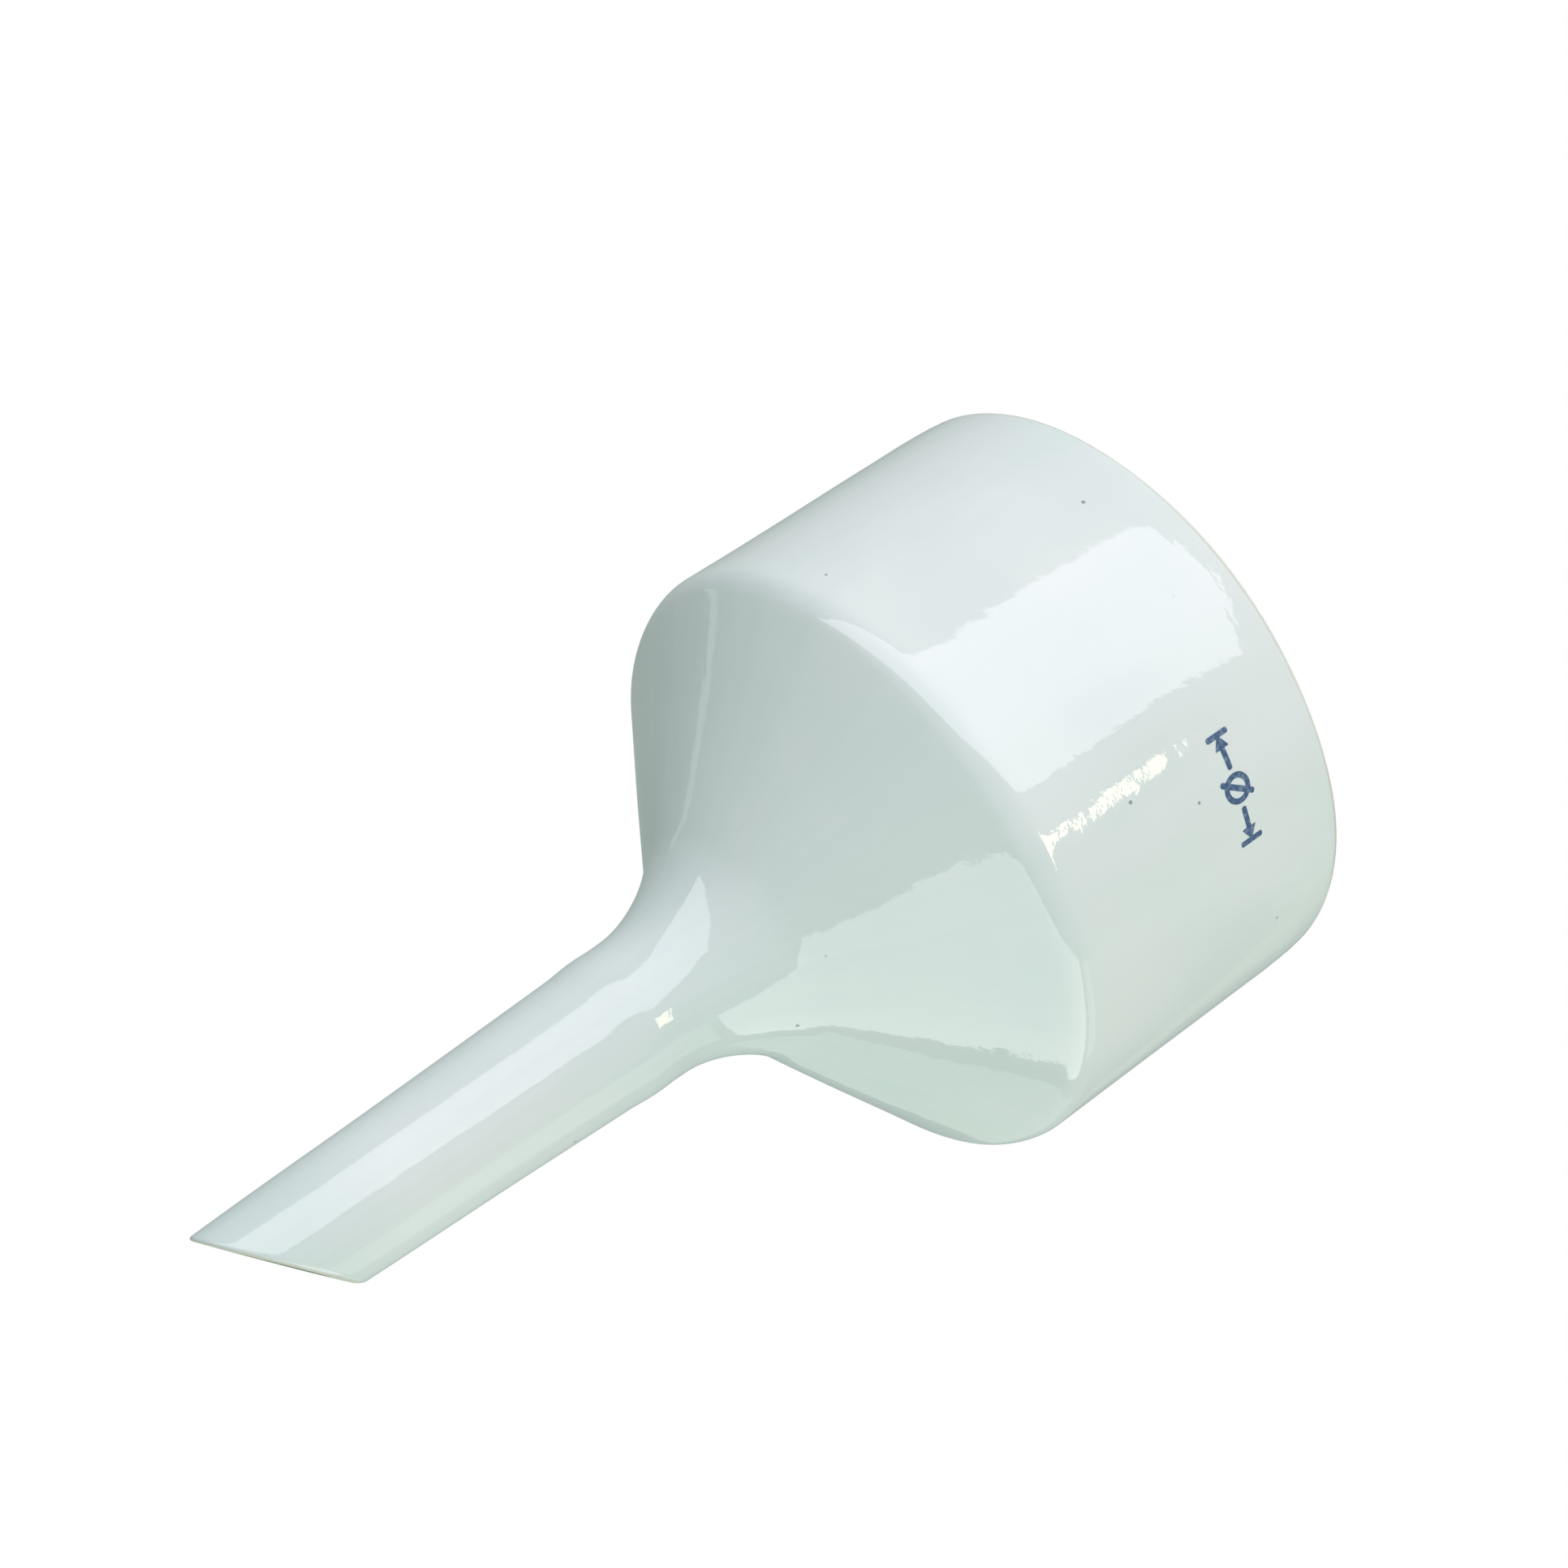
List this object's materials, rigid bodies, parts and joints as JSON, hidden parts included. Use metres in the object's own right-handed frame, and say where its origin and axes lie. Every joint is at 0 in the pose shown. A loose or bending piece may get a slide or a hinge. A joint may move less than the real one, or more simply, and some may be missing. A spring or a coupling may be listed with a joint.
{
  "type": "buchner funnel",
  "caption": "Porcelain vacuum-filter funnel: a straight bowl over a fixed perforated plate, a collecting cone, and a long stem with an oblique outlet.",
  "frame": {"origin": "on the axis at the luted joint between neck and stem, the top of the straight stem, where a rubber cone in a flask's neck holds it", "axes": "+Z along the axis from the stem to the rim; the short side of the oblique outlet is towards +X, its long side towards -X"},
  "size_m": [0.1, 0.1, 0.1757],
  "materials": {
    "glazed_porcelain": "clear gloss glaze over white porcelain, faintly blue-green where it lies thick",
    "bare_porcelain": "unglazed, fired to a warm off-white",
    "size_mark": "blue stamped mark fired into the glaze"
  },
  "bodies": {
    "root": {"bowl_wall": "glazed_porcelain", "wall_slip_joint": "bare_porcelain", "perforated_plate": "glazed_porcelain", "plate_slip_bead": "bare_porcelain", "collecting_cone": "glazed_porcelain", "stem_slip_joint": "bare_porcelain", "stem": "glazed_porcelain"}
  },
  "joints": []
}
